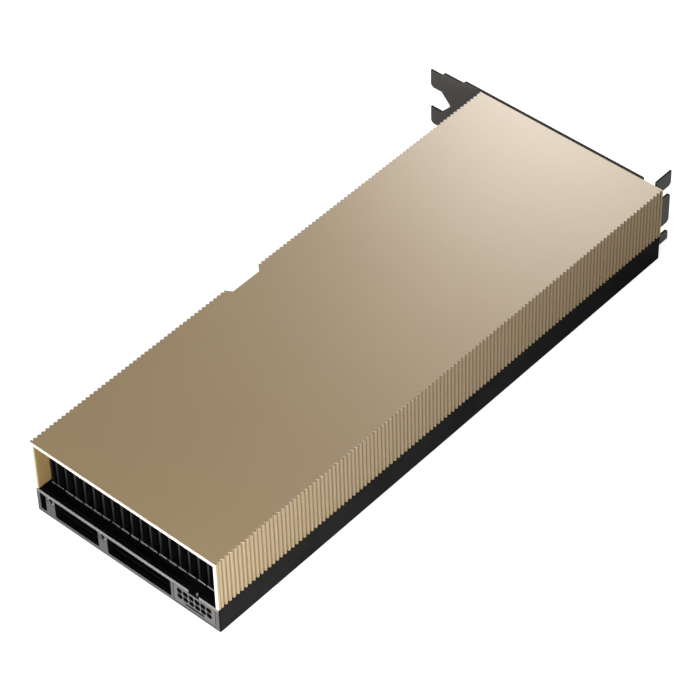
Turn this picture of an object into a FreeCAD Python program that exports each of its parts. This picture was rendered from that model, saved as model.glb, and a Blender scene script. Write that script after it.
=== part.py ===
import FreeCAD, Part
import os

# Passive accelerator card: a dual-slot, full-height server card, cooled by the air stream of its server.
# Millimetres. X runs from the tail, where the air goes in, to the mounting bracket, where it comes out.
# Y runs from the upper long side of the card to its edge connector. Z is up from the back, on which the
# card lies. The origin is the middle of the footprint, at the level of the back.

Vector = FreeCAD.Vector

# Envelope of the card
body_length = 267.0             # tail face to the inner face of the bracket
body_width = 96.7               # over the crests of the ribs
base_height = 12.5              # rest surface to the seam between base frame and cover
component_height = 34.8         # component side of the board to the top of the cover
board_back_gap = 1.25           # rest surface to the back of the board
board_thickness = 1.57
running_clearance = 0.3         # between pieces that lie side by side
bore_clearance = 0.05           # between a screw and the bore that it is driven into
repeat_sides = 12               # flats of the small rounds that repeat, such as screws and their bores

# Cover
cover_end_gap = 0.2             # cover to bracket
cover_top_thickness = 2.0
cover_wall_thickness = 1.9      # crest of a rib to the inner face
rib_pitch = 2.17
rib_depth = 0.9
rib_flank = 0.3                 # share of the pitch that each slanted side of a rib takes
end_land = 1.2                  # plain strip before the first rib and after the last
latch_notch_offset = -15.3      # middle of the body to the middle of the notch
latch_notch_length = 20.0
latch_notch_depth = 3.1
latch_notch_tail_run = 1.8      # length of the slanted flank nearer the tail
latch_notch_bracket_run = 2.9
latch_notch_wall = 1.5
lug_length = 6.4
lug_depth = 3.4
lug_height = 5.0

# Base frame
frame_wall = 2.0
tail_wall = 2.2
bracket_wall = 2.5
frame_edge_radius = 0.8
rim_height = 1.6                # rim over the duct floor
floor_thickness = 1.2
opening_sill = 2.0              # rest surface to the lower edge of the tail openings
opening_drop = 0.3              # duct floor to the upper edge of the tail openings
opening_corner = 0.5
small_opening = (5.3, 2.2)      # start and end of a tail opening, from the connector side of the body
middle_opening = (33.4, 10.1)
wide_opening_start = 25.2       # from the upper long side
wide_opening_end = 38.3         # from the connector side
extender_hole_inset = 7.8       # connector side to the nearer threaded hole for a chassis extender
extender_hole_pitch = 28.0
extender_hole_drop = 3.2        # seam to the middle of those holes
extender_block_depth = 6.3
extender_block_wall = 0.5       # metal over the insert
edge_boss_radius = 2.6
edge_boss_inset = 4.6
ledge_thickness = 1.6

# Threaded inserts of the two extender holes
insert_length = 5.0
insert_outer_radius = 1.75
insert_thread_radius = 1.25
insert_setback = 0.2

# Heat sink: a stepped plate with fins soldered to its raised bed
sink_setback = 6.7              # tail face to the front of the fins
sink_outlet_gap = 9.0           # back of the fins to the inner face of the bracket
pad_thickness = 0.28            # inductors to the plate
plate_thin_thickness = 2.0      # over the tail end, where the tall capacitors stand
plate_step = 49.0               # tail face to the step
plate_side_gap = 1.0
plate_corner = 3.0
scallop_gap = 0.6               # round the bosses of the base frame
pillar_radius = 3.0
screw_blind_end = 1.2           # metal left over a blind bore in the plate
fin_pitch = 4.97
fin_thickness = 1.0
fin_foot_height = 0.8           # raised bed under the fins
fin_side_gap = 3.6              # inner face of the cover to the outermost fin, at least
fin_top_gap = 0.3
side_plate_length = 14.0        # plates that close the gaps beside the fins behind the mouth

# Power inlet: twelve power contacts in two rows and four sense contacts under them
inlet_centre = 13.0             # from the upper long side
inlet_width = 21.3
inlet_depth = 14.5
inlet_bottom = 1.3
inlet_top_gap = 0.1             # top of the housing to the duct floor
inlet_fit = 0.15
contact_pitch = 3.0
contacts_in_row = 6
upper_row_drop = 2.4            # top of the housing to the middle of the upper row
cavity_size = 2.4
cavity_corner = 0.5
cavity_depth = 10.0
pin_size = 0.9
pin_setback = 4.0
pin_fit = 0.02
lower_tail_reach = 2.0          # back of the housing to the solder tail of the lower row
upper_tail_reach = 4.5
sense_slot_width = 9.6
sense_slot_height = 0.8
sense_slot_middle = 2.9
sense_slot_depth = 6.0
sense_contact_count = 4
sense_contact_pitch = 2.2
sense_contact_width = 0.8
sense_contact_thickness = 0.2
sense_contact_setback = 2.0
latch_gap_width = 5.4
latch_channel_depth = 0.6
latch_channel_end = 9.0
latch_tab_width = 1.0
latch_tab_length = 1.6
latch_tab_height = 1.4
latch_tab_offset = -1.3         # from the middle of the inlet
latch_tab_setback = 0.6

# Circuit board and its edge connector
board_tail_gap = 0.8
board_side_gap = 0.3
board_edge_reach = 6.2          # connector side of the body to the main edge of the board
finger_reach = 14.45            # connector side of the body to the edge of the contact fingers
board_strip_start = 8.2         # tail face to the start of the strip beyond the base frame
board_strip_chamfer = 3.0
key_from_bracket = 57.15
key_width = 1.9
key_end_gap = 1.2               # main edge of the board to the bottom of the key slot
short_fingers = 11.65
long_fingers = 71.65
finger_corner = 1.0
finger_bevel = 0.45
hook_gap = 2.2
hook_width = 5.4
hook_reach = 6.2
hook_barb = 1.2
hook_barb_height = 2.0
edge_contact_pitch = 1.0
edge_contact_width = 0.7
edge_contact_length = 4.4
edge_contact_setback = 1.3
edge_contact_thickness = 0.05
board_hole_gap = 0.3

# Processor package and the parts round it
package_from_tail = 150.0
package_length = 56.0
package_width = 58.0
substrate_thickness = 1.5
die_width = 30.0
die_thickness = 0.75
memory_length = 10.0
memory_width = 11.0
memory_gap = 1.0
memory_edge_gap = 1.0           # memory stacks to the stiffener
memory_per_side = 3
stiffener_width = 3.0
stiffener_thickness = 0.7
interface_thickness = 0.1
pedestal_margin = 1.0
inductor_size = 6.6
inductor_height = 3.5
inductor_count = 9
inductor_pitch = 8.0
inductor_gap = 22.0             # edge of the package to the middle of each bank of inductors
power_stage_gap = 8.0           # middle of that bank to the middle of the power stages beyond it
power_stage_length = 5.0
power_stage_width = 6.0
power_stage_height = 0.8
pad_width = 6.0
chip_capacitor_size = (1.6, 3.2, 1.6)
chip_capacitor_count = 8
chip_capacitor_pitch = 6.4
chip_capacitor_gap = 1.8
can_radius = 3.15
can_top_gap = 0.6               # cans to the thin end of the plate
can_base_height = 0.8
can_columns = 2
can_rows = 3
can_pitch = 9.5
can_from_tail = 38.0
controller_size = 8.0
controller_height = 0.9
controller_from_package = (-77.0, 74.0)
controller_rows = 2
controller_pitch = 30.0

# Backplate and its film
backplate_thickness = 1.0
backplate_gap = 0.25
backplate_corner = 1.5
film_inset = 0.8

# Mounting bracket of folded sheet
bracket_sheet = 0.86
bracket_bottom = 0.2
bracket_height = 37.8
bracket_shoulder_drop = 1.6     # step down of the upper edge before the tongue
bracket_shoulder_reach = 8.7    # connector side of the body to that step
bracket_bend_radius = 0.5
flange_depth = 11.43            # inner face of the sheet to the edge of the flange
flange_inset = 4.5              # upper long side of the card to the outer face of the flange
bracket_tip_reach = 27.82       # connector side of the body to the ends of the tongues
slot_pitch = 20.32
tongue_width = 9.3
tongue_centre_height = 9.65
tongue_length = 6.0
tongue_taper_length = 5.0
tongue_corner_radius = 2.0
tongue_gap_radius = 1.0
screw_notch_width = 4.42
screw_notch_height = 7.7        # rest surface to the middle of the lower notch
screw_notch_setback = 5.9       # inner face of the sheet to the centre of the notch's round end
flange_corner_radius = 1.8
relief_width = 6.0
relief_depth = 4.0
vent_width = 3.8
vent_web = 1.2
vent_corner = 0.9
vent_margin = 9.0
vent_end_margin = 3.0

# Screws
edge_screw_radius = 1.25
edge_screw_head_radius = 2.2
edge_screw_first = 26.0
edge_screw_count = 3
sink_screw_gap_x = 8.0          # edge of the package to the screws beyond it
sink_screw_gap_y = 4.0
cover_screw_radius = 0.95
cover_screw_head_radius = 1.45
cover_screw_head_height = 1.5
cover_screw_depth = 5.0
cover_screw_inset = 3.7
bracket_screw_radius = 1.45
bracket_screw_head_radius = 2.7
bracket_screw_head_height = 1.5
bracket_screw_length = 7.0
bracket_screw_inset = 12.0
bracket_screw_count = 3
bracket_block_depth = 8.0
bracket_block_width = 7.0
socket_radius = 0.75
socket_depth = 0.8

# Places along X
overall_length = body_length + flange_depth
tail_x = -overall_length / 2
bracket_x = tail_x + body_length
cover_end_x = bracket_x - cover_end_gap
fin_start_x = tail_x + sink_setback
fin_end_x = bracket_x - sink_outlet_gap
package_x = tail_x + package_from_tail
inlet_back_x = tail_x + inlet_depth
board_start_x = tail_x + tail_wall + board_tail_gap
board_end_x = bracket_x - bracket_wall - board_side_gap

# Places along Y
overall_width = body_width + bracket_tip_reach
near_y = -overall_width / 2
far_y = near_y + body_width
middle_y = near_y + body_width / 2
inlet_y = near_y + inlet_centre
flange_y = near_y + flange_inset
tip_y = far_y + bracket_tip_reach
board_edge_y = far_y + board_edge_reach
finger_y = far_y + finger_reach
tail_opening_spans = ((near_y + wide_opening_start, far_y - wide_opening_end),
                      (far_y - middle_opening[0], far_y - middle_opening[1]),
                      (far_y - small_opening[0], far_y - small_opening[1]))

# Levels along Z
board_bottom_z = board_back_gap
board_top_z = board_bottom_z + board_thickness
cover_top_z = board_top_z + component_height
duct_top_z = cover_top_z - cover_top_thickness
floor_z = base_height - rim_height
floor_bottom_z = floor_z - floor_thickness
foot_z = floor_z + fin_foot_height
thin_bottom_z = floor_z - plate_thin_thickness
inlet_top_z = floor_z - inlet_top_gap
boss_bore_top_z = inlet_top_z - screw_blind_end
opening_top_z = floor_z - opening_drop
extender_hole_z = base_height - extender_hole_drop
substrate_top_z = board_top_z + substrate_thickness
die_top_z = substrate_top_z + die_thickness
inductor_top_z = board_top_z + inductor_height
plate_bottom_z = inductor_top_z + pad_thickness
can_top_z = thin_bottom_z - can_top_gap
bracket_screw_z = (board_top_z + floor_bottom_z) / 2
bracket_top_z = bracket_bottom + bracket_height
fin_top_z = duct_top_z - fin_top_gap

# Screw stations that several pieces share
edge_screw_pitch = (body_length - 2 * edge_screw_first) / (edge_screw_count - 1)
edge_screw_points = [(tail_x + edge_screw_first + i * edge_screw_pitch, y)
                     for i in range(edge_screw_count)
                     for y in (near_y + edge_boss_inset, far_y - edge_boss_inset)]
cover_screw_points = [(tail_x + edge_screw_first + (i + 0.5) * edge_screw_pitch, y)
                      for i in range(edge_screw_count - 1)
                      for y in (near_y + cover_screw_inset, far_y - cover_screw_inset)]
sink_screw_points = [(package_x + i * (package_length / 2 + sink_screw_gap_x),
                      middle_y + j * (package_width / 2 + sink_screw_gap_y))
                     for i in (-1, 1)
                     for j in (-1, 1)]
bracket_screw_pitch = (body_width - 2 * bracket_screw_inset) / (bracket_screw_count - 1)
bracket_screw_ys = [near_y + bracket_screw_inset + i * bracket_screw_pitch
                    for i in range(bracket_screw_count)]
extender_hole_ys = [far_y - extender_hole_inset - i * extender_hole_pitch for i in (1, 0)]
contact_row_heights = (inlet_top_z - upper_row_drop, inlet_top_z - upper_row_drop - contact_pitch)
contact_ys = [inlet_y + (i - (contacts_in_row - 1) / 2) * contact_pitch for i in range(contacts_in_row)]
sense_contact_ys = [inlet_y + (i - (sense_contact_count - 1) / 2) * sense_contact_pitch
                    for i in range(sense_contact_count)]

# Processor package: the die takes the length that the memory stacks and the stiffener leave
die_length = package_length - 2 * (stiffener_width + memory_edge_gap + memory_length + memory_gap)
inductor_offset = package_length / 2 + inductor_gap
power_stage_offset = inductor_offset + power_stage_gap


# Plain solids and outlines


def box(x0, x1, y0, y1, z0, z1):
    return Part.makeBox(x1 - x0, y1 - y0, z1 - z0, Vector(x0, y0, z0))


# Turned form with a few flats in place of the round, for what repeats: rings through (radius, height) pairs,
# closed at both ends, then stood at a point along an axis
def turned(profile, point, axis):
    rings = [Part.makeCircle(radius, Vector(0, 0, height)).discretize(repeat_sides + 1)
             for radius, height in profile]
    faces = [Part.Face(Part.makePolygon(ring)) for ring in (rings[0], rings[-1])]
    for lower, upper in zip(rings, rings[1:]):
        for i in range(repeat_sides):
            corners = [lower[i], lower[i + 1], upper[i + 1], upper[i], lower[i]]
            faces.append(Part.Face(Part.makePolygon(corners)))
    solid = Part.makeSolid(Part.makeShell(faces)).removeSplitter()
    solid.Placement = FreeCAD.Placement(point, FreeCAD.Rotation(Vector(0, 0, 1), axis))
    return solid


def rod_z(x, y, z0, z1, radius):
    return turned([(radius, 0), (radius, z1 - z0)], Vector(x, y, z0), Vector(0, 0, 1))


def rod_x(x0, x1, y, z, radius):
    return turned([(radius, 0), (radius, x1 - x0)], Vector(x0, y, z), Vector(1, 0, 0))


def block(centre_x, centre_y, z0, z1, length, width):
    x, y = length / 2, width / 2
    return box(centre_x - x, centre_x + x, centre_y - y, centre_y + y, z0, z1)


def prism(points, travel):
    return Part.Face(Part.makePolygon(points + points[:1])).extrude(travel)


def edges_along(shape, direction):
    return [edge for edge in shape.Edges
            if abs(abs(edge.tangentAt(edge.FirstParameter).dot(direction)) - 1) < 1e-6]


def chamfered_box_x(x0, x1, y0, y1, z0, z1, size):
    solid = box(x0, x1, y0, y1, z0, z1)
    return solid.makeChamfer(size, edges_along(solid, Vector(1, 0, 0)))


def chamfered_box_z(x0, x1, y0, y1, z0, z1, size):
    solid = box(x0, x1, y0, y1, z0, z1)
    return solid.makeChamfer(size, edges_along(solid, Vector(0, 0, 1)))


def row_middles(centre, pitch, count):
    return [centre + (i - (count - 1) / 2) * pitch for i in range(count)]


# Cover: one channel with a smooth top, whose two long walls are ribbed from the seam up to the top face


def ribbed_side(y_crest, inward, x_from, x_to):
    count = round((abs(x_to - x_from) - 2 * end_land) / rib_pitch)
    way = 1 if x_to > x_from else -1
    start = x_from + way * end_land
    pitch = (x_to - x_from - 2 * way * end_land) / count
    y_valley = y_crest + inward * rib_depth
    points = [Vector(x_from, y_crest, base_height), Vector(start, y_crest, base_height)]
    for i in range(count):
        for along, y in ((i, y_valley), (i + rib_flank, y_crest), (i + 1 - rib_flank, y_crest)):
            points.append(Vector(start + along * pitch, y, base_height))
    end = start + count * pitch
    return points + [Vector(end, y_valley, base_height), Vector(end, y_crest, base_height),
                     Vector(x_to, y_crest, base_height)]


# Prism of the latch notch, or of the wall behind it when it is grown by that wall
def latch_notch(grow, z0, z1):
    x_middle = tail_x + body_length / 2 + latch_notch_offset
    x_start = x_middle - latch_notch_length / 2 - grow
    x_end = x_middle + latch_notch_length / 2 + grow
    y_bottom = far_y - latch_notch_depth - grow
    y_outer = far_y if grow else far_y + latch_notch_depth
    overrun = 0 if grow else 1
    tail_slant = overrun * latch_notch_tail_run
    bracket_slant = overrun * latch_notch_bracket_run
    points = [Vector(x_start - tail_slant, y_outer, z0),
              Vector(x_start + latch_notch_tail_run, y_bottom, z0),
              Vector(x_end - latch_notch_bracket_run, y_bottom, z0),
              Vector(x_end + bracket_slant, y_outer, z0)]
    return prism(points, Vector(0, 0, z1 - z0))


def cover():
    outline = ribbed_side(near_y, 1, tail_x, cover_end_x) + ribbed_side(far_y, -1, cover_end_x, tail_x)
    shell = prism(outline, Vector(0, 0, cover_top_z - base_height))
    inner_near = near_y + cover_wall_thickness
    inner_far = far_y - cover_wall_thickness
    channel = box(tail_x - 1, cover_end_x + 1, inner_near, inner_far, base_height - 1, duct_top_z)
    backing = latch_notch(latch_notch_wall, base_height, duct_top_z)
    backing = backing.common(box(tail_x, cover_end_x, middle_y, far_y - rib_depth, base_height, cover_top_z))
    shell = shell.cut(channel.cut(backing)).cut(latch_notch(0, base_height - 1, cover_top_z + 1))
    lugs = []
    bores = []
    bore_top = base_height + lug_height - 1
    for x, y in cover_screw_points:
        inner = inner_near if y < middle_y else inner_far
        edge = inner + lug_depth if y < middle_y else inner - lug_depth
        lugs.append(box(x - lug_length / 2, x + lug_length / 2, min(inner, edge), max(inner, edge),
                        base_height, base_height + lug_height))
        bores.append(rod_z(x, y, base_height - 1, bore_top, cover_screw_radius + bore_clearance))
    return shell.fuse(lugs).cut(bores).removeSplitter()


# Base frame: the dark rim below the cover, with the duct floor at both ends and the open tail face


# Blocks between the tail openings, each round the insert of an extender hole
def extender_blocks():
    top = extender_hole_z + insert_outer_radius + extender_block_wall
    return [box(tail_x + tail_wall / 2, tail_x + extender_block_depth, before[1], after[0], board_top_z, top)
            for before, after in zip(tail_opening_spans, tail_opening_spans[1:])]


def screw_bosses():
    return [rod_z(x, y, board_top_z, inlet_top_z, edge_boss_radius) for x, y in edge_screw_points]


def boss_webs():
    webs = []
    for x, y in edge_screw_points:
        wall = near_y + frame_wall / 2 if y < middle_y else far_y - frame_wall / 2
        webs.append(box(x - edge_boss_radius, x + edge_boss_radius, min(y, wall), max(y, wall),
                        board_top_z, inlet_top_z))
    return webs


def cover_ledges():
    ledges = []
    for x, y in cover_screw_points:
        wall = near_y + frame_wall / 2 if y < middle_y else far_y - frame_wall / 2
        reach = cover_wall_thickness + lug_depth
        edge = near_y + reach if y < middle_y else far_y - reach
        ledges.append(box(x - lug_length / 2, x + lug_length / 2, min(wall, edge), max(wall, edge),
                          base_height - ledge_thickness, base_height))
    return ledges


def bracket_blocks():
    x0 = bracket_x - bracket_block_depth
    return [box(x0, bracket_x - bracket_wall / 2, y - bracket_block_width / 2, y + bracket_block_width / 2,
                board_top_z, floor_bottom_z) for y in bracket_screw_ys]


# Bores of the bracket's screws, from a start to an end measured inward from the bracket
def bracket_screw_bores(start, end, radius):
    return [turned([(radius, start), (radius, end)], Vector(bracket_x, y, bracket_screw_z), Vector(-1, 0, 0))
            for y in bracket_screw_ys]


def inlet_window():
    half = inlet_width / 2 + inlet_fit
    bottom = inlet_bottom - inlet_fit
    window = box(tail_x - 1, fin_start_x, inlet_y - half, inlet_y + half, bottom, floor_z)
    latch_half = latch_gap_width / 2
    latch = box(tail_x - 1, tail_x + tail_wall + 1, inlet_y - latch_half, inlet_y + latch_half,
                floor_z - inlet_fit, base_height + 1)
    return [window, latch]


def tail_openings():
    return [chamfered_box_x(tail_x - 1, tail_x + tail_wall + 1, start, end, opening_sill, opening_top_z,
                            opening_corner)
            for start, end in tail_opening_spans]


def base_frame():
    inner = (near_y + frame_wall, far_y - frame_wall)
    hollow = box(tail_x + tail_wall, bracket_x - bracket_wall, inner[0], inner[1], -1, base_height + 1)
    backing = latch_notch(latch_notch_wall, 0, base_height)
    frame = box(tail_x, bracket_x, near_y, far_y, 0, base_height)
    frame = frame.makeFillet(frame_edge_radius, edges_along(frame, Vector(0, 0, 1))).cut(hollow.cut(backing))
    board_pass = box(tail_x + board_strip_start - board_side_gap, bracket_x - bracket_wall,
                     middle_y, far_y + 1, -1, board_top_z)
    frame = frame.cut(board_pass).cut(tail_openings())
    floor_edge = fin_start_x - running_clearance
    outlet_edge = fin_end_x + running_clearance
    floors = [box(tail_x + tail_wall / 2, floor_edge, inner[0], inner[1], floor_bottom_z, floor_z),
              box(outlet_edge, bracket_x - bracket_wall / 2, inner[0], inner[1], floor_bottom_z, floor_z)]
    floors[0] = floors[0].cut(tail_openings())
    added = floors + extender_blocks() + screw_bosses() + boss_webs() + cover_ledges() + bracket_blocks()
    frame = frame.fuse(added)
    bores = [rod_z(x, y, board_top_z - 1, boss_bore_top_z, edge_screw_radius + bore_clearance)
             for x, y in edge_screw_points]
    bores += [rod_z(x, y, floor_z - 1, base_height + 1, cover_screw_radius + board_hole_gap / 2)
              for x, y in cover_screw_points]
    insert_end_x = tail_x + insert_setback + insert_length
    bores += [rod_x(tail_x - 1, insert_end_x, y, extender_hole_z, insert_outer_radius)
              for y in extender_hole_ys]
    bores += bracket_screw_bores(-1, bracket_screw_length, bracket_screw_radius + bore_clearance)
    cuts = inlet_window() + bores + [latch_notch(0, -1, base_height + 1)]
    return frame.cut(cuts).removeSplitter()


def threaded_inserts():
    x0 = tail_x + insert_setback
    inserts = []
    for y in extender_hole_ys:
        outer = rod_x(x0, x0 + insert_length, y, extender_hole_z, insert_outer_radius - bore_clearance)
        bore = Part.makeCylinder(insert_thread_radius, insert_length + 2, Vector(x0 - 1, y, extender_hole_z),
                                 Vector(1, 0, 0))
        inserts.append(outer.cut(bore))
    return inserts


# Heat sink


def fin_ys():
    inner_width = body_width - 2 * cover_wall_thickness
    count = int((inner_width - 2 * fin_side_gap - fin_thickness) / fin_pitch) + 1
    return row_middles(middle_y, fin_pitch, count)


# Middles of the two short plates that stand beside the fins, close to the walls of the base frame
def side_plate_ys():
    reach = body_width / 2 - frame_wall - running_clearance - fin_thickness / 2
    return [middle_y - reach, middle_y + reach]


def fin_stack():
    half = fin_thickness / 2
    fins = [box(fin_start_x, fin_end_x, y - half, y + half, foot_z, fin_top_z) for y in fin_ys()]
    return fins + [box(fin_start_x, fin_start_x + side_plate_length, y - half, y + half, foot_z, fin_top_z)
                   for y in side_plate_ys()]


def heat_sink_plate():
    y0 = near_y + frame_wall + plate_side_gap
    y1 = far_y - frame_wall - plate_side_gap
    plate = chamfered_box_z(fin_start_x, fin_end_x, y0, y1, plate_bottom_z, floor_z, plate_corner)
    step = box(fin_start_x - 1, tail_x + plate_step, y0 - 1, y1 + 1, plate_bottom_z - 1, thin_bottom_z)
    plate = plate.cut(step)
    inlet_edge = inlet_y + inlet_width / 2 + plate_side_gap
    tails_edge = inlet_back_x + upper_tail_reach + pin_size + plate_side_gap
    cuts = [box(fin_start_x - 1, tails_edge, y0 - 1, inlet_edge, plate_bottom_z - 1, floor_z + 1)]
    cuts += [rod_z(x, y, plate_bottom_z - 1, floor_z + 1, edge_boss_radius + scallop_gap)
             for x, y in edge_screw_points]
    cuts += [rod_z(x, y, plate_bottom_z - 1, floor_z + 1, cover_screw_head_radius + scallop_gap)
             for x, y in cover_screw_points]
    cuts += [latch_notch(latch_notch_wall + scallop_gap, plate_bottom_z - 1, floor_z + 1)]
    half_fin = fin_thickness / 2
    bed = box(fin_start_x, fin_end_x, fin_ys()[0] - half_fin, fin_ys()[-1] + half_fin, floor_z, foot_z)
    near_side, far_side = side_plate_ys()
    front_bed = box(fin_start_x, fin_start_x + side_plate_length, near_side - half_fin, far_side + half_fin,
                    floor_z, foot_z)
    pedestal = block(package_x, middle_y, die_top_z + interface_thickness, plate_bottom_z + 1,
                     package_length - 2 * (stiffener_width + pedestal_margin),
                     package_width - 2 * (stiffener_width + pedestal_margin))
    pillars = [rod_z(x, y, board_top_z, plate_bottom_z + 1, pillar_radius) for x, y in sink_screw_points]
    bores = [rod_z(x, y, board_top_z - 1, floor_z - screw_blind_end, edge_screw_radius + bore_clearance)
             for x, y in sink_screw_points]
    return plate.cut(cuts).fuse([bed, front_bed, pedestal] + pillars).cut(bores).removeSplitter()


# Power inlet


def inlet_housing():
    half = inlet_width / 2
    housing = box(tail_x, inlet_back_x, inlet_y - half, inlet_y + half, inlet_bottom, inlet_top_z)
    size = cavity_size / 2
    hole = pin_size / 2 + pin_fit
    cuts = []
    for z in contact_row_heights:
        for y in contact_ys:
            cuts.append(chamfered_box_x(tail_x - 1, tail_x + cavity_depth, y - size, y + size,
                                        z - size, z + size, cavity_corner))
            cuts.append(box(tail_x + 1, inlet_back_x + 1, y - hole, y + hole, z - hole, z + hole))
    slot_z = sense_slot_middle - sense_slot_height / 2
    cuts.append(box(tail_x - 1, tail_x + sense_slot_depth, inlet_y - sense_slot_width / 2,
                    inlet_y + sense_slot_width / 2, slot_z, slot_z + sense_slot_height))
    for y in sense_contact_ys:
        cuts.append(box(tail_x + 1, inlet_back_x + 1, y - sense_contact_width / 2 - pin_fit,
                        y + sense_contact_width / 2 + pin_fit, board_top_z - pin_fit,
                        board_top_z + sense_contact_thickness + pin_fit))
    cuts.append(box(tail_x + tail_wall, tail_x + latch_channel_end, inlet_y - latch_gap_width / 2,
                    inlet_y + latch_gap_width / 2, inlet_top_z - latch_channel_depth, inlet_top_z + 1))
    tab_x = tail_x + latch_tab_setback
    tab_y = inlet_y + latch_tab_offset
    tab_profile = [Vector(tab_x, tab_y, inlet_top_z - latch_channel_depth / 2),
                   Vector(tab_x + latch_tab_length, tab_y, inlet_top_z - latch_channel_depth / 2),
                   Vector(tab_x + latch_tab_length, tab_y, inlet_top_z + latch_tab_height),
                   Vector(tab_x + latch_tab_length / 2, tab_y, inlet_top_z + latch_tab_height)]
    tab = prism(tab_profile, Vector(0, latch_tab_width, 0))
    return housing.cut(cuts).fuse(tab).removeSplitter()


# One bent power contact: a straight blade in its cavity and a solder tail down to the board
def power_pin(y, z, tail_reach):
    half = pin_size / 2
    x0 = tail_x + pin_setback
    x1 = inlet_back_x + tail_reach
    outline = [(x0, z - half), (x1, z - half), (x1, board_top_z), (x1 + pin_size, board_top_z),
               (x1 + pin_size, z + half), (x0, z + half)]
    return prism([Vector(px, y - half, pz) for px, pz in outline], Vector(0, pin_size, 0))


def power_pins():
    reaches = (upper_tail_reach, lower_tail_reach)
    return [power_pin(y, z, reach) for z, reach in zip(contact_row_heights, reaches) for y in contact_ys]


def sense_contacts():
    x1 = inlet_back_x + lower_tail_reach
    return [box(tail_x + sense_contact_setback, x1, y - sense_contact_width / 2, y + sense_contact_width / 2,
                board_top_z, board_top_z + sense_contact_thickness) for y in sense_contact_ys]


# Circuit board with the two finger blocks, the key slot between them and the retention hook


def finger_blocks():
    key_x = bracket_x - key_from_bracket
    return ((key_x - key_width / 2 - long_fingers, key_x - key_width / 2),
            (key_x + key_width / 2, key_x + key_width / 2 + short_fingers))


def board_outline():
    (long_start, long_end), (short_start, short_end) = finger_blocks()
    y0 = near_y + frame_wall + board_side_gap
    strip_y = far_y - frame_wall - board_side_gap
    strip_x = tail_x + board_strip_start
    inlet_x = inlet_back_x + board_side_gap
    inlet_side = inlet_y + inlet_width / 2 + board_side_gap
    key_y = board_edge_y + key_end_gap
    hook_end = long_start - hook_gap
    hook_start = hook_end - hook_width
    hook_y = board_edge_y + hook_reach
    gap_y = board_edge_y - hook_gap / 2
    return [(inlet_x, y0), (board_end_x, y0), (board_end_x, board_edge_y), (short_end, board_edge_y),
            (short_end, finger_y - finger_corner), (short_end - finger_corner, finger_y),
            (short_start + finger_corner, finger_y), (short_start, finger_y - finger_corner),
            (short_start, key_y), (long_end, key_y),
            (long_end, finger_y - finger_corner), (long_end - finger_corner, finger_y),
            (long_start + finger_corner, finger_y), (long_start, finger_y - finger_corner),
            (long_start, gap_y), (hook_end, gap_y), (hook_end, hook_y - hook_barb_height),
            (hook_end + hook_barb, hook_y - hook_barb_height), (hook_end + hook_barb, hook_y),
            (hook_start + hook_barb, hook_y), (hook_start, hook_y - hook_barb), (hook_start, board_edge_y),
            (strip_x + board_strip_chamfer, board_edge_y), (strip_x, board_edge_y - board_strip_chamfer),
            (strip_x, strip_y), (board_start_x, strip_y), (board_start_x, inlet_side), (inlet_x, inlet_side)]


# Wedge that bevels one face of a finger block along its leading edge
def finger_bevels():
    wedges = []
    for start, end in finger_blocks():
        for z, inward in ((board_top_z, -1), (board_bottom_z, 1)):
            points = [Vector(start - 1, finger_y - 3 * finger_bevel, z),
                      Vector(start - 1, finger_y + 1, z + inward * (finger_bevel + 1 / 3)),
                      Vector(start - 1, finger_y + 1, z - inward)]
            wedges.append(prism(points + [Vector(start - 1, finger_y - 3 * finger_bevel, z - inward)],
                                Vector(end - start + 2, 0, 0)))
    return wedges


def circuit_board():
    outline = [Vector(x, y, board_bottom_z) for x, y in board_outline()]
    board = prism(outline, Vector(0, 0, board_thickness))
    holes = [rod_z(x, y, board_bottom_z - 1, board_top_z + 1, edge_screw_radius + board_hole_gap)
             for x, y in edge_screw_points + sink_screw_points]
    return board.cut(holes + finger_bevels())


def edge_contacts():
    contacts = []
    y1 = finger_y - edge_contact_setback - 3 * finger_bevel
    y0 = y1 - edge_contact_length
    for start, end in finger_blocks():
        count = int((end - start) / edge_contact_pitch)
        for x in row_middles((start + end) / 2, edge_contact_pitch, count):
            for z0 in (board_top_z, board_bottom_z - edge_contact_thickness):
                contacts.append(box(x - edge_contact_width / 2, x + edge_contact_width / 2, y0, y1,
                                    z0, z0 + edge_contact_thickness))
    return contacts


# Processor package and the parts soldered round it


def processor_substrate():
    return block(package_x, middle_y, board_top_z, substrate_top_z, package_length, package_width)


def processor_die():
    return block(package_x, middle_y, substrate_top_z, die_top_z, die_length, die_width)


def memory_stacks():
    reach = (die_length + memory_length) / 2 + memory_gap
    return [block(package_x + side * reach, y, substrate_top_z, die_top_z, memory_length, memory_width)
            for side in (-1, 1)
            for y in row_middles(middle_y, memory_width + memory_gap, memory_per_side)]


def package_stiffener():
    top_z = substrate_top_z + stiffener_thickness
    ring = block(package_x, middle_y, substrate_top_z, top_z, package_length, package_width)
    return ring.cut(block(package_x, middle_y, substrate_top_z - 1, top_z + 1,
                          package_length - 2 * stiffener_width, package_width - 2 * stiffener_width))


def inductors():
    return [block(package_x + side * inductor_offset, y, board_top_z, inductor_top_z,
                  inductor_size, inductor_size)
            for side in (-1, 1)
            for y in row_middles(middle_y, inductor_pitch, inductor_count)]


def power_stages():
    return [block(package_x + side * power_stage_offset, y, board_top_z, board_top_z + power_stage_height,
                  power_stage_length, power_stage_width)
            for side in (-1, 1)
            for y in row_middles(middle_y, inductor_pitch, inductor_count)]


def thermal_pads():
    pad_length = inductor_pitch * inductor_count
    strips = [block(package_x + side * inductor_offset, middle_y, inductor_top_z, plate_bottom_z,
                    pad_width, pad_length) for side in (-1, 1)]
    reach = die_length + 2 * (memory_length + memory_gap)
    depth = memory_per_side * (memory_width + memory_gap) - memory_gap
    interface = block(package_x, middle_y, die_top_z, die_top_z + interface_thickness, reach, depth)
    return strips + [interface]


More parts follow.
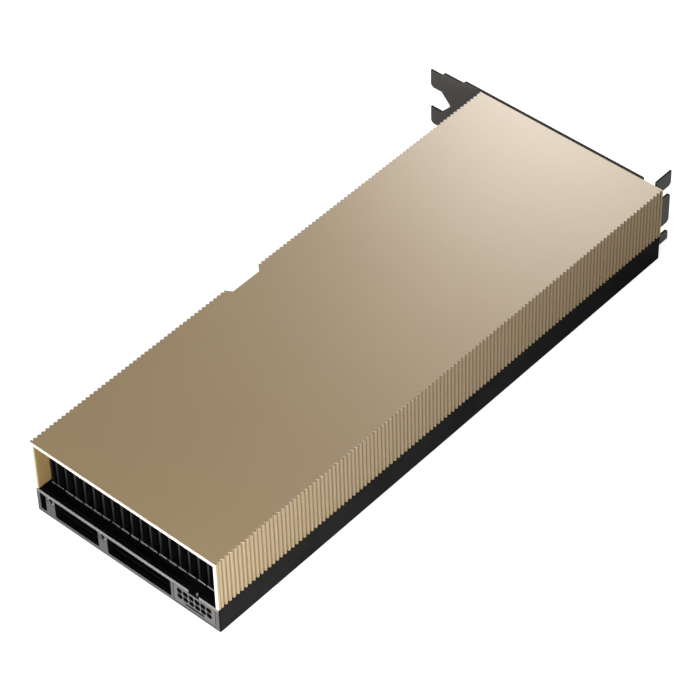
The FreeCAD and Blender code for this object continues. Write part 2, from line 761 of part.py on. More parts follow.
def chip_capacitors():
    length, width, height = chip_capacitor_size
    reach = package_length / 2 + chip_capacitor_gap + length / 2
    return [block(package_x + side * reach, y, board_top_z, board_top_z + height, length, width)
            for side in (-1, 1)
            for y in row_middles(middle_y, chip_capacitor_pitch, chip_capacitor_count)]


def can_capacitors():
    cans = []
    for x in row_middles(tail_x + can_from_tail, can_pitch, can_columns):
        for y in row_middles(middle_y, can_pitch, can_rows):
            foot = block(x, y, board_top_z, board_top_z + can_base_height, 2 * can_radius, 2 * can_radius)
            can = rod_z(x, y, board_top_z + can_base_height / 2, can_top_z, can_radius - bore_clearance)
            cans.append(foot.fuse(can).removeSplitter())
    return cans


def controller_chips():
    return [block(package_x + offset, y, board_top_z, board_top_z + controller_height,
                  controller_size, controller_size)
            for offset in controller_from_package
            for y in row_middles(middle_y, controller_pitch, controller_rows)]


# Backplate with countersunk holes, and the film that insulates the board from it


def backplate():
    plate = chamfered_box_z(tail_x + tail_wall + inlet_fit, bracket_x - bracket_wall - inlet_fit,
                            near_y + frame_wall + inlet_fit, far_y - inlet_fit, 0, backplate_thickness,
                            backplate_corner)
    small = edge_screw_radius + board_hole_gap
    wide = edge_screw_head_radius + board_hole_gap
    sinks = [turned([(wide, 0), (small, backplate_thickness)], Vector(x, y, 0), Vector(0, 0, 1))
             for x, y in edge_screw_points + sink_screw_points]
    tail_corner = box(tail_x, tail_x + board_strip_start - board_side_gap,
                      far_y - frame_wall - inlet_fit, far_y, -1, backplate_thickness + 1)
    return plate.cut(sinks + [tail_corner])


# The film ends short of the screws along both long sides
def insulating_film():
    inset = edge_boss_inset + edge_screw_head_radius + film_inset
    film = box(board_start_x + film_inset, board_end_x - film_inset, near_y + inset, far_y - inset,
               backplate_thickness, backplate_thickness + backplate_gap)
    return film.cut([rod_z(x, y, 0, board_top_z, edge_screw_radius + board_hole_gap)
                     for x, y in sink_screw_points])


# Mounting bracket: one folded sheet with a slotted face, two tongues and a notched flange


def tongue_centres():
    return (tongue_centre_height, tongue_centre_height + slot_pitch)


# Edges across the sheet that pass through one Y and any of the given heights
def edges_through(sheet, y, heights):
    return [edge for edge in edges_along(sheet, Vector(1, 0, 0))
            if abs(edge.BoundBox.Center.y - y) < 1e-6
            and min(abs(edge.BoundBox.Center.z - z) for z in heights) < 1e-6]


def bracket_face():
    (low_mid, high_mid), half = tongue_centres(), tongue_width / 2
    neck_y = tip_y - tongue_length
    taper_y = neck_y - tongue_taper_length
    shoulder_y = far_y + bracket_shoulder_reach
    shoulder_z = bracket_top_z - bracket_shoulder_drop
    gap_z = (low_mid + high_mid) / 2
    start_y = flange_y + bracket_sheet + bracket_bend_radius
    outline = [(start_y, bracket_bottom), (taper_y, bracket_bottom), (neck_y, low_mid - half),
               (tip_y, low_mid - half), (tip_y, low_mid + half), (neck_y, low_mid + half),
               (taper_y, gap_z), (neck_y, high_mid - half), (tip_y, high_mid - half),
               (tip_y, high_mid + half), (neck_y, high_mid + half),
               (neck_y - bracket_shoulder_drop, shoulder_z), (shoulder_y + bracket_shoulder_drop, shoulder_z),
               (shoulder_y, bracket_top_z), (start_y, bracket_top_z)]
    face = prism([Vector(bracket_x, y, z) for y, z in outline], Vector(bracket_sheet, 0, 0))
    lower_corners = (low_mid - half, high_mid - half)
    face = face.makeFillet(tongue_corner_radius, edges_through(face, tip_y, lower_corners))
    return face.makeFillet(tongue_gap_radius, edges_through(face, taper_y, (gap_z,)))


# The fold: plain flange, bend and the first strip of the face, as one extruded section
def bracket_fold():
    outer = bracket_bend_radius + bracket_sheet
    cx, cy = bracket_x + outer, flange_y + outer
    edge_x = bracket_x + flange_depth
    slope = 0.5 ** 0.5

    def at(x, y):
        return Vector(x, y, bracket_bottom)

    wire = Part.Wire([
        Part.makeLine(at(bracket_x, cy), at(bracket_x + bracket_sheet, cy)),
        Part.Arc(at(bracket_x + bracket_sheet, cy),
                 at(cx - bracket_bend_radius * slope, cy - bracket_bend_radius * slope),
                 at(cx, flange_y + bracket_sheet)).toShape(),
        Part.makeLine(at(cx, flange_y + bracket_sheet), at(edge_x, flange_y + bracket_sheet)),
        Part.makeLine(at(edge_x, flange_y + bracket_sheet), at(edge_x, flange_y)),
        Part.makeLine(at(edge_x, flange_y), at(cx, flange_y)),
        Part.Arc(at(cx, flange_y), at(cx - outer * slope, cy - outer * slope), at(bracket_x, cy)).toShape()])
    return Part.Face(wire).extrude(Vector(0, 0, bracket_height))


# The two screw notches of the flange, each with rounded lips, and the relief at the top of the fold
def flange_cuts():
    half = screw_notch_width / 2
    centre_x = bracket_x + screw_notch_setback
    edge_x = bracket_x + flange_depth
    lip = flange_corner_radius
    cuts = []

    def at(x, z):
        return Vector(x, flange_y - 1, z)

    across = Vector(0, 1, 0)
    for z in (screw_notch_height, screw_notch_height + slot_pitch):
        notch = Part.makeCylinder(half, bracket_sheet + 2, at(centre_x, z), across)
        slot = box(centre_x, edge_x + 1, flange_y - 1, flange_y + bracket_sheet + 1, z - half, z + half)
        high, low = z + half + lip, z - half - lip
        flare = prism([at(edge_x - lip, z - half), at(edge_x - lip, z + half), at(edge_x, high),
                       at(edge_x + 1, high), at(edge_x + 1, low), at(edge_x, low)],
                      across * (bracket_sheet + 2))
        rounds = [Part.makeCylinder(lip, bracket_sheet + 2, at(edge_x - lip, lip_z), across)
                  for lip_z in (low, high)]
        cuts += [notch, slot, flare.cut(rounds)]
    cuts.append(box(bracket_x - 1, bracket_x + bracket_sheet + bracket_bend_radius, flange_y - 1,
                    flange_y + relief_width, bracket_top_z - relief_depth, bracket_top_z + 1))
    return cuts


def vent_slots():
    pitch = vent_width + vent_web
    half = vent_width / 2
    count = int((body_width - 2 * vent_margin) / pitch)
    return [chamfered_box_x(bracket_x - 1, bracket_x + bracket_sheet + 1, y - half, y + half,
                            base_height + vent_end_margin, duct_top_z - vent_end_margin, vent_corner)
            for y in row_middles(middle_y, pitch, count)]


def bracket():
    sheet = bracket_face().fuse(bracket_fold())
    holes = bracket_screw_bores(-bracket_sheet - 1, 1, bracket_screw_radius + board_hole_gap)
    return sheet.cut(flange_cuts() + holes + vent_slots()).removeSplitter()


# Screws


def socket(point, axis, depth):
    flats = socket_radius * 2
    corners = [Vector(0, 0, -1) + Vector(flats / 2 * across, flats / 3 ** 0.5 * up, 0)
               for across, up in ((0, 1), (1, 0.5), (1, -0.5), (0, -1), (-1, -0.5), (-1, 0.5))]
    tool = prism(corners, Vector(0, 0, 1 + depth))
    tool.Placement = FreeCAD.Placement(point, FreeCAD.Rotation(Vector(0, 0, 1), axis))
    return tool


def countersunk_screw(x, y, top_z):
    profile = [(edge_screw_head_radius, 0), (edge_screw_radius, backplate_thickness),
               (edge_screw_radius, top_z)]
    screw = turned(profile, Vector(x, y, 0), Vector(0, 0, 1))
    return screw.cut(socket(Vector(x, y, 0), Vector(0, 0, 1), socket_depth))


def backplate_screws():
    return [countersunk_screw(x, y, boss_bore_top_z - running_clearance) for x, y in edge_screw_points]


def heat_sink_screws():
    top_z = floor_z - screw_blind_end - running_clearance
    return [countersunk_screw(x, y, top_z) for x, y in sink_screw_points]


def cover_screws():
    profile = [(cover_screw_head_radius, -cover_screw_head_height), (cover_screw_head_radius, 0),
               (cover_screw_radius, 0), (cover_screw_radius, cover_screw_depth)]
    return [turned(profile, Vector(x, y, floor_z), Vector(0, 0, 1)) for x, y in cover_screw_points]


def bracket_screws():
    screws = []
    length = bracket_screw_length + bracket_sheet - running_clearance
    profile = [(0.8 * bracket_screw_head_radius, -bracket_screw_head_height),
               (bracket_screw_head_radius, -0.5 * bracket_screw_head_height), (bracket_screw_head_radius, 0),
               (bracket_screw_radius, 0), (bracket_screw_radius, length)]
    for y in bracket_screw_ys:
        point = Vector(bracket_x + bracket_sheet, y, bracket_screw_z)
        screw = turned(profile, point, Vector(-1, 0, 0))
        screws.append(screw.cut(socket(point + Vector(bracket_screw_head_height, 0, 0), Vector(-1, 0, 0),
                                       socket_depth)))
    return screws


# Each sub-part goes to its own file. A list is a group of like pieces, each a solid of its own.
sub_parts = {
    "cover": cover(),
    "base_frame": base_frame(),
    "threaded_inserts": threaded_inserts(),
    "heat_sink_plate": heat_sink_plate(),
    "fin_stack": fin_stack(),
    "power_inlet_housing": inlet_housing(),
    "power_pins": power_pins(),
    "sense_contacts": sense_contacts(),
    "circuit_board": circuit_board(),
    "edge_contacts": edge_contacts(),
    "processor_substrate": processor_substrate(),
    "processor_die": processor_die(),
    "memory_stacks": memory_stacks(),
    "package_stiffener": package_stiffener(),
    "thermal_pads": thermal_pads(),
    "inductors": inductors(),
    "power_stages": power_stages(),
    "chip_capacitors": chip_capacitors(),
    "can_capacitors": can_capacitors(),
    "controller_chips": controller_chips(),
    "backplate": backplate(),
    "insulating_film": insulating_film(),
    "bracket": bracket(),
    "bracket_screws": bracket_screws(),
    "backplate_screws": backplate_screws(),
    "heat_sink_screws": heat_sink_screws(),
    "cover_screws": cover_screws(),
}

os.makedirs("parts", exist_ok=True)
for node, shape in sub_parts.items():
    if isinstance(shape, list):
        shape = Part.makeCompound(shape)
    shape.exportStep("parts/" + node + ".step")
    b = shape.BoundBox
    corners = [round(v, 2) for v in (b.XMin, b.YMin, b.ZMin, b.XMax, b.YMax, b.ZMax)]
    print(node, len(shape.Solids), "solids", round(shape.Volume, 1), "mm3", corners,
          "valid" if shape.isValid() else "NOT VALID")
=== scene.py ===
import math
import bmesh
import bpy
from mathutils import Matrix, Vector


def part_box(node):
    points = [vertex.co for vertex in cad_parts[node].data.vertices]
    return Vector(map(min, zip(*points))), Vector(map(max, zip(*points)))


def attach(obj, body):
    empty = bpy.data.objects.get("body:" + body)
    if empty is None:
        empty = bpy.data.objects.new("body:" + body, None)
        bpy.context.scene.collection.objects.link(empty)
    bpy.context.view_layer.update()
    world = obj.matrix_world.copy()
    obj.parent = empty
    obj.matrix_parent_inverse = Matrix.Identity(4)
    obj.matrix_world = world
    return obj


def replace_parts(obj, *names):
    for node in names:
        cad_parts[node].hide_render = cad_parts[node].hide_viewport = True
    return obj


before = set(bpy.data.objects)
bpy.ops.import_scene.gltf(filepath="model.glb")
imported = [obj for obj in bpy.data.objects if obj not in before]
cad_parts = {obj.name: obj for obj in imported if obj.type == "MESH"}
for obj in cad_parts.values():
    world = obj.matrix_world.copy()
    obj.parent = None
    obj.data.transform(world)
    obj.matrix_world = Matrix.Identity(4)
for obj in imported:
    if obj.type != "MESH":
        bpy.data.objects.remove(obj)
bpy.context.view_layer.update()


print("frame loaded:", len(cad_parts), "nodes")

mm = 0.001
near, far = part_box("cover")   # its lowest and highest corners
tailX, coverTopZ, seamZ = near.x, far.z, near.z


def hexColour(code):  # sRGB hex to the linear colour that the shader takes
    channels = [int(code[i:i + 2], 16) / 255 for i in (1, 3, 5)]
    linear = [c / 12.92 if c <= 0.04045 else ((c + 0.055) / 1.055) ** 2.4 for c in channels]
    return (*linear, 1.0)


def addNode(tree, kind, settings=None, inputs=None):  # gives the new node's outputs
    node = tree.nodes.new("ShaderNode" + kind)
    for name, value in (settings or {}).items():
        setattr(node, name, value)
    for key, value in (inputs or {}).items():
        if isinstance(value, bpy.types.NodeSocket):
            tree.links.new(value, node.inputs[key])
        else:
            node.inputs[key].default_value = value
    return node.outputs


# settings that many of the nodes share
colourMix = {"data_type": "RGBA"}
product, difference = {"operation": "MULTIPLY"}, {"operation": "SUBTRACT"}
larger, smaller = {"operation": "MAXIMUM"}, {"operation": "MINIMUM"}
above, below = {"operation": "GREATER_THAN"}, {"operation": "LESS_THAN"}


def newMaterial(name, look):  # a Principled shader with the plain values of a look
    material = bpy.data.materials.new(name)
    material.use_nodes = True
    tree = material.node_tree
    tree.nodes.clear()
    surface = addNode(tree, "BsdfPrincipled", None, {
        "Base Color": hexColour(look["colour"]), "Metallic": look.get("metallic", 0.0),
        "Roughness": look["roughness"], "Specular IOR Level": look.get("specular", 0.5),
        "Coat Weight": look.get("coat", 0.0), "Coat Roughness": look.get("coatRoughness", 0.3),
        "Coat IOR": look.get("coatIor", 1.5)})["BSDF"]
    addNode(tree, "OutputMaterial", None, {"Surface": surface})
    place = addNode(tree, "TexCoord")["Object"]
    return material, tree, surface.node, place


def mottle(tree, place, sizeMm, detail=2.0, stretch=(1, 1, 1)):  # its blotches are about sizeMm across
    spot = addNode(tree, "Mapping", None, {"Vector": place, "Scale": stretch})["Vector"]
    return addNode(tree, "TexNoise", None, {
        "Vector": spot, "Scale": 1 / (sizeMm * mm), "Detail": detail})["Fac"]


def twoTone(tree, look, pattern):  # a look's colour and shade, mixed by a pattern
    return addNode(tree, "Mix", colourMix, {
        0: pattern, 6: hexColour(look["colour"]), 7: hexColour(look["shade"])})[2]


def varyRoughness(tree, shader, look, pattern):  # a noise keeps mostly between 0.3 and 0.7
    smooth, rough = look["roughnessRange"]
    spread = addNode(tree, "MapRange", None, {
        "Value": pattern, "From Min": 0.3, "From Max": 0.7, "To Min": smooth, "To Max": rough})["Result"]
    tree.links.new(spread, shader.inputs["Roughness"])


def facing(tree, axis, least):  # 1 where the surface faces that way, in the object's own space
    normal = addNode(tree, "SeparateXYZ", None, {0: addNode(tree, "TexCoord")["Normal"]})[axis[1]]
    if axis[0] == "+":
        return addNode(tree, "Math", above, {0: normal, 1: least})[0]
    return addNode(tree, "Math", below, {0: normal, 1: -least})[0]


def fineRelief(tree, shader, look, height):  # a bump over softly rounded edges
    rounded = addNode(tree, "Bevel", {"samples": 4}, {"Radius": look["roundMm"] * mm})["Normal"]
    relief = addNode(tree, "Bump", None, {
        "Height": height, "Distance": look["depthMm"] * mm, "Strength": look["strength"],
        "Normal": rounded})["Normal"]
    tree.links.new(relief, shader.inputs["Normal"])


anodisedLook = {
    "colour": "#BB9D67", "shade": "#B49561", "cloudMm": 45.0,
    # the valley colour is a painted shade, darker in the valleys between the ribs
    "paintedValleyShade": "#6E5A38", "valleyShare": 0.6, "valleyMm": 0.5, "ribZoneMm": 1.0, "topLeast": 0.2,
    # the worn edge colour is a painted highlight along edges that face partly up
    "paintedEdgeHighlight": "#F7EEDC", "highlightFrom": 0.15, "highlightTo": 0.985,   # how far up an edge faces
    # the end face colour is painted light, near white on the end toward the tail
    "paintedLitEndFace": "#F3EBDD", "endMm": 0.05, "endLeast": 0.95,
    "metallic": 0.12, "roughness": 0.5, "roughnessRange": (0.46, 0.55),
    "coat": 1.0, "coatRoughness": 0.34, "coatIor": 1.65,
    "gritMm": 0.45, "depthMm": 0.03, "strength": 0.35, "roundMm": 0.3}


# Aluminium, bead blasted and then anodised: a fine even grain and a soft sheen with no streaks. The valleys
# between the ribs are painted darker, a painted shade, the edges facing partly up paler, a painted
# highlight, and the end round the duct's mouth near white, painted light from the tail side. Real grit is
# about 0.1 mm, and is drawn coarse enough to show
def beadBlastedAnodisedAluminium(name, look):
    material, tree, shader, place = newMaterial(name, look)
    grain = mottle(tree, place, look["gritMm"], detail=3.0)
    tan = twoTone(tree, look, mottle(tree, place, look["cloudMm"]))
    at = addNode(tree, "SeparateXYZ", None, {0: place})
    fromNear = addNode(tree, "Math", difference, {0: at["Y"], 1: near.y})[0]
    fromFar = addNode(tree, "Math", difference, {0: far.y, 1: at["Y"]})[0]
    depth = addNode(tree, "Math", smaller, {0: fromNear, 1: fromFar})[0]
    # painted shade: the valleys between the ribs are darkened, away from the top face
    deep = addNode(tree, "MapRange", None, {
        "Value": depth, "From Max": look["valleyMm"] * mm, "To Max": look["valleyShare"]})["Result"]
    onRibs = addNode(tree, "Math", below, {0: depth, 1: look["ribZoneMm"] * mm})[0]
    notTop = addNode(tree, "Math", difference, {0: 1.0, 1: facing(tree, "+Z", look["topLeast"])})[0]
    valleyShadeMask = addNode(tree, "Math", product, {0: deep, 1: onRibs})[0]
    valleyShadeMask = addNode(tree, "Math", product, {0: valleyShadeMask, 1: notTop})[0]
    tan = addNode(tree, "Mix", colourMix, {0: valleyShadeMask, 6: tan, 7: hexColour(look["paintedValleyShade"])})[2]
    # painted highlight: edges facing partly up are painted paler
    edgeHighlightMask = addNode(tree, "Math", difference, {
        0: facing(tree, "+Z", look["highlightFrom"]), 1: facing(tree, "+Z", look["highlightTo"])})[0]
    tan = addNode(tree, "Mix", colourMix, {0: edgeHighlightMask, 6: tan, 7: hexColour(look["paintedEdgeHighlight"])})[2]
    # painted light: the end face toward the tail is painted near white
    byTail = addNode(tree, "Math", below, {0: at["X"], 1: tailX + look["endMm"] * mm})[0]
    tailLitMask = addNode(tree, "Math", product, {0: facing(tree, "-X", look["endLeast"]), 1: byTail})[0]
    tan = addNode(tree, "Mix", colourMix, {0: tailLitMask, 6: tan, 7: hexColour(look["paintedLitEndFace"])})[2]
    tree.links.new(tan, shader.inputs["Base Color"])
    varyRoughness(tree, shader, look, grain)
    fineRelief(tree, shader, look, grain)
    return material


satinBlackLook = {
    "colour": "#0B0B0C", "shade": "#111112", "cloudMm": 18.0,
    # the tail face colour is painted light on the faces toward the tail, and the rim colour a painted
    # highlight
    "paintedTailLight": "#615F5E", "faceMm": 0.3, "faceLeast": 0.9, "rim": "#878584", "rimMm": 1.6,
    "metallic": 0.0, "roughness": 0.52, "roughnessRange": (0.47, 0.58), "specular": 0.05,
    "peelMm": 1.1, "depthMm": 0.02, "strength": 0.3, "roundMm": 0.25}


# Die cast aluminium with a thin satin powder coat: faint orange peel, soft wide highlights. The outer face
# of the tail wall is painted grey, painted light from the tail side, and the strip above its openings
# paler, a painted highlight
def powderCoatedCasting(name, look):
    material, tree, shader, place = newMaterial(name, look)
    cloud = mottle(tree, place, look["cloudMm"], detail=3.0)
    at = addNode(tree, "SeparateXYZ", None, {0: place})
    # painted light: the outer face of the tail wall is painted grey
    byTail = addNode(tree, "Math", below, {0: at["X"], 1: tailX + look["faceMm"] * mm})[0]
    litFaceMask = addNode(tree, "Math", product, {0: facing(tree, "-X", look["faceLeast"]), 1: byTail})[0]
    coat = addNode(tree, "Mix", colourMix, {
        0: litFaceMask, 6: twoTone(tree, look, cloud), 7: hexColour(look["paintedTailLight"])})[2]
    # painted highlight: the strip above the openings is painted paler still
    high = addNode(tree, "Math", above, {0: at["Z"], 1: seamZ - look["rimMm"] * mm})[0]
    rimHighlightMask = addNode(tree, "Math", product, {0: litFaceMask, 1: high})[0]
    coat = addNode(tree, "Mix", colourMix, {0: rimHighlightMask, 6: coat, 7: hexColour(look["rim"])})[2]
    tree.links.new(coat, shader.inputs["Base Color"])
    varyRoughness(tree, shader, look, cloud)
    fineRelief(tree, shader, look, mottle(tree, place, look["peelMm"]))
    return material


blackFinLook = {
    # the edge colour of the fins and plate is a painted highlight on their faces toward the tail
    "colour": "#08080A", "shade": "#0E0F11", "edge": "#16171A", "edgeLeast": 0.9,
    "metallic": 0.0, "roughness": 0.5, "specular": 0.2,
    "rollMm": 0.5, "depthMm": 0.01, "strength": 0.25, "roundMm": 0.15}
blackPlateLook = {   # with a joint at each fin
    **blackFinLook, "colour": "#050506", "shade": "#080809", "edge": "#9DA0A2", "specular": 0.1,
    "jointPitchMm": 4.97, "jointMm": 0.8, "jointY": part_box("fin_stack")[0].y + 0.5 * mm}


# Aluminium, rolled and black anodised: fine lines along the roll, drawn coarser than real to show. Its
# faces toward the tail are painted paler, a painted highlight, with a dark joint at each fin where fins
# stand on it
def blackAnodisedStrip(name, look):
    material, tree, shader, place = newMaterial(name, look)
    roll = mottle(tree, place, look["rollMm"], stretch=(0.05, 1, 1))
    # painted highlight: faces toward the tail are painted paler, except at the joints
    tailLitMask = facing(tree, "-X", look["edgeLeast"])
    if "jointMm" in look:
        across = addNode(tree, "SeparateXYZ", None, {0: place})["Y"]
        fromFirst = addNode(tree, "Math", difference, {0: across, 1: look["jointY"]})[0]
        fromJoint = addNode(tree, "Math", {"operation": "PINGPONG"}, {
            0: fromFirst, 1: look["jointPitchMm"] * mm / 2})[0]
        clear = addNode(tree, "Math", above, {0: fromJoint, 1: look["jointMm"] * mm / 2})[0]
        tailLitMask = addNode(tree, "Math", product, {0: tailLitMask, 1: clear})[0]
    faces = addNode(tree, "Mix", colourMix, {
        0: tailLitMask, 6: twoTone(tree, look, roll), 7: hexColour(look["edge"])})[2]
    tree.links.new(faces, shader.inputs["Base Color"])
    fineRelief(tree, shader, look, roll)
    return material


bracketLook = {
    # the edge colour is a painted shade, black on the upward sheet edges
    "colour": "#6E6D6A", "shade": "#797774", "edge": "#030303", "edgeLeast": 0.3,
    "metallic": 0.0, "roughness": 0.5, "roughnessRange": (0.45, 0.58), "specular": 0.1,
    "rollMm": 0.7, "depthMm": 0.015, "strength": 0.3, "roundMm": 0.2}


# Cold rolled steel sheet, blanked, folded and plated dark: a faint grain along the sheet, drawn coarser
# than real to show, a soft grey sheen, and upward sheet edges painted black, a painted shade
def darkPlatedSteel(name, look):
    material, tree, shader, place = newMaterial(name, look)
    grain = mottle(tree, place, look["rollMm"], detail=3.0, stretch=(1, 0.06, 1))
    # painted shade: faces that point up are painted black
    upwardShadeMask = facing(tree, "+Z", look["edgeLeast"])
    faces = addNode(tree, "Mix", colourMix, {
        0: upwardShadeMask, 6: twoTone(tree, look, grain), 7: hexColour(look["edge"])})[2]
    tree.links.new(faces, shader.inputs["Base Color"])
    varyRoughness(tree, shader, look, grain)
    fineRelief(tree, shader, look, grain)
    return material


# the shade is that of the tracks. A track with its gap is 1 mm, about three times the real one, to show
maskLook = {
    "colour": "#070B0A", "shade": "#0D1512", "roughness": 0.35, "specular": 0.25,
    "trackMm": 1.0, "trackLeast": 0.55, "blockMm": 9.0, "blockStretch": (1, 0.4, 1), "blockLeast": 0.47,
    "depthMm": 0.03, "strength": 0.5, "roundMm": 0.1}
wavePitch = 0.314   # metres from band to band in a Wave texture of scale 1


# Glass fibre board under dark semi-gloss solder mask: buried tracks show as faint raised lines
def solderMaskedBoard(name, look):
    material, tree, shader, place = newMaterial(name, look)
    bands = {"wave_type": "BANDS", "bands_direction": "X", "wave_profile": "TRI"}
    lines = addNode(tree, "TexWave", bands, {
        "Vector": place, "Scale": wavePitch / (look["trackMm"] * mm), "Distortion": 0.0})["Fac"]
    blocks = mottle(tree, place, look["blockMm"], detail=0.0, stretch=look["blockStretch"])
    inBlock = addNode(tree, "Math", above, {0: blocks, 1: look["blockLeast"]})[0]
    onLine = addNode(tree, "Math", above, {0: lines, 1: look["trackLeast"]})[0]
    track = addNode(tree, "Math", product, {0: inBlock, 1: onLine})[0]
    tree.links.new(twoTone(tree, look, track), shader.inputs["Base Color"])
    fineRelief(tree, shader, look, track)
    return material


inletLook = {
    # the face colour is painted light on the mating face and latch, toward the tail
    "colour": "#0B0B0C", "shade": "#121213", "face": "#6A6867", "faceMm": 0.3, "faceLeast": 0.9,
    "frontX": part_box("power_inlet_housing")[0].x, "latchZ": seamZ - 1.5 * mm,
    "roughness": 0.55, "specular": 0.1, "grainMm": 0.4, "depthMm": 0.01, "strength": 0.3, "roundMm": 0.1}


# Moulded black polyester with a matt texture from the tool. Its mating face and its latch are painted grey,
# painted light from the tail side
def mouldedPolyester(name, look):
    material, tree, shader, place = newMaterial(name, look)
    grain = mottle(tree, place, look["grainMm"], detail=3.0)
    at = addNode(tree, "SeparateXYZ", None, {0: place})
    # painted light: the front and latch faces toward the tail are painted grey
    atFront = addNode(tree, "Math", below, {0: at["X"], 1: look["frontX"] + look["faceMm"] * mm})[0]
    onLatch = addNode(tree, "Math", above, {0: at["Z"], 1: look["latchZ"]})[0]
    outside = addNode(tree, "Math", larger, {0: atFront, 1: onLatch})[0]
    litInletMask = addNode(tree, "Math", product, {0: facing(tree, "-X", look["faceLeast"]), 1: outside})[0]
    faces = addNode(tree, "Mix", colourMix, {
        0: litInletMask, 6: twoTone(tree, look, grain), 7: hexColour(look["face"])})[2]
    tree.links.new(faces, shader.inputs["Base Color"])
    fineRelief(tree, shader, look, grain)
    return material


smallLooks = {
    "hardGoldPlating": {
        "colour": "#D9B25A", "shade": "#CFA64C", "roughness": 0.24, "metallic": 1.0, "grainMm": 0.6},
    "turnedNickelSteel": {
        "colour": "#B9B8B4", "shade": "#A3A29E", "roughness": 0.3, "metallic": 1.0, "grainMm": 0.5},
    "blackOxideSteel": {
        "colour": "#1C1C1E", "shade": "#29292B", "roughness": 0.36, "metallic": 0.8, "grainMm": 0.5},
    "packageLaminate": {"colour": "#23402C", "shade": "#1D3625", "roughness": 0.4, "grainMm": 1.5},
    "polishedSilicon": {
        "colour": "#6E727C", "shade": "#7D808A", "roughness": 0.12, "metallic": 0.8, "grainMm": 6.0},
    "chipMoulding": {"colour": "#1A1A1B", "shade": "#232324", "roughness": 0.6, "grainMm": 0.3},
    "plainNickelPlate": {
        "colour": "#B5B3AC", "shade": "#A8A69F", "roughness": 0.33, "metallic": 1.0, "grainMm": 1.0},
    "filledSiliconePad": {"colour": "#7C8791", "shade": "#717B85", "roughness": 0.75, "grainMm": 0.6},
    "pressedFerrite": {"colour": "#3A3A3B", "shade": "#303031", "roughness": 0.55, "grainMm": 0.4},
    "firedCeramic": {"colour": "#8C6E4E", "shade": "#7D6043", "roughness": 0.35, "grainMm": 0.8},
    "drawnAluminiumCan": {
        "colour": "#C2C3C4", "shade": "#B0B1B3", "roughness": 0.28, "metallic": 1.0, "grainMm": 0.7},
    "polyesterFilm": {"colour": "#151517", "shade": "#1B1B1D", "roughness": 0.3, "grainMm": 3.0},
}
smallRelief = {"depthMm": 0.01, "strength": 0.3, "roundMm": 0.12}


# Small moulded, plated and fired parts, too small for more: a little cloud in the colour and a fine relief.
# Bare metals are smooth and shine, ferrite, pads and moulded chips are matt, film and ceramic lie between
def finelyGrained(name, look):
    material, tree, shader, place = newMaterial(name, look)
    grain = mottle(tree, place, look["grainMm"], detail=3.0)
    tree.links.new(twoTone(tree, look, grain), shader.inputs["Base Color"])
    fineRelief(tree, shader, smallRelief, grain)
    return material


mainFinishes = {
    "beadBlastedAnodisedAluminium": (beadBlastedAnodisedAluminium, anodisedLook),
    "powderCoatedCasting": (powderCoatedCasting, satinBlackLook),
    "blackAnodisedStrip": (blackAnodisedStrip, blackFinLook),
    "blackAnodisedPlate": (blackAnodisedStrip, blackPlateLook),
    "darkPlatedSteel": (darkPlatedSteel, bracketLook),
    "solderMaskedBoard": (solderMaskedBoard, maskLook),
    "mouldedPolyester": (mouldedPolyester, inletLook),
}
materials = {name: finelyGrained(name, look) for name, look in smallLooks.items()}
materials.update({name: make(name, look) for name, (make, look) in mainFinishes.items()})
print("materials made:", len(materials))

nodeMaterials = {
    "cover": "beadBlastedAnodisedAluminium", "bracket": "darkPlatedSteel",
    "base_frame": "powderCoatedCasting", "backplate": "powderCoatedCasting",
    "fin_stack": "blackAnodisedStrip", "heat_sink_plate": "blackAnodisedPlate",
    "circuit_board": "solderMaskedBoard", "power_inlet_housing": "mouldedPolyester",
    "power_pins": "hardGoldPlating", "sense_contacts": "hardGoldPlating",
    "edge_contacts": "hardGoldPlating",
    "processor_substrate": "packageLaminate", "processor_die": "polishedSilicon",
    "memory_stacks": "chipMoulding", "power_stages": "chipMoulding", "controller_chips": "chipMoulding",
    "package_stiffener": "plainNickelPlate", "threaded_inserts": "turnedNickelSteel",
    "thermal_pads": "filledSiliconePad", "inductors": "pressedFerrite", "insulating_film": "polyesterFilm",
    "chip_capacitors": "firedCeramic", "can_capacitors": "drawnAluminiumCan",
    "bracket_screws": "blackOxideSteel", "backplate_screws": "blackOxideSteel",
    "heat_sink_screws": "blackOxideSteel", "cover_screws": "blackOxideSteel",
}
for nodeName, materialName in nodeMaterials.items():
    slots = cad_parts[nodeName].data.materials
    slots.clear()
    slots.append(materials[materialName])
print("nodes dressed:", len(nodeMaterials))

edgeRules = {"creaseDegrees": 20, "sharpDegrees": 35, "squareDegrees": 60, "longMm": 10.0, "insideMm": 1.5,
             "touchMm": 0.01}


def isMouthEdge(edge):  # the inner edges of the duct's mouth, round its three sides
    middle = (edge.verts[0].co + edge.verts[1].co) / 2
    inset = edgeRules["insideMm"] * mm
    inside = near.y + inset < middle.y < far.y - inset and middle.z < coverTopZ - inset
    return (edge.calc_face_angle(0) > math.radians(edgeRules["squareDegrees"]) and inside
            and edge.calc_length() > edgeRules["longMm"] * mm
            and max(vert.co.x for vert in edge.verts) < tailX + edgeRules["touchMm"] * mm)


def isTopOrRib(edge):  # round the top face, and up the ribs
    heights = [vert.co.z for vert in edge.verts]
    onTop = min(heights) > coverTopZ - edgeRules["touchMm"] * mm
    upright = abs(heights[0] - heights[1]) > edgeRules["longMm"] * mm
    return (edge.calc_face_angle(0) > math.radians(edgeRules["creaseDegrees"]) and not isMouthEdge(edge)
            and (onTop or upright))


def isSharp(edge):
    return edge.calc_face_angle(0) > math.radians(edgeRules["sharpDegrees"])


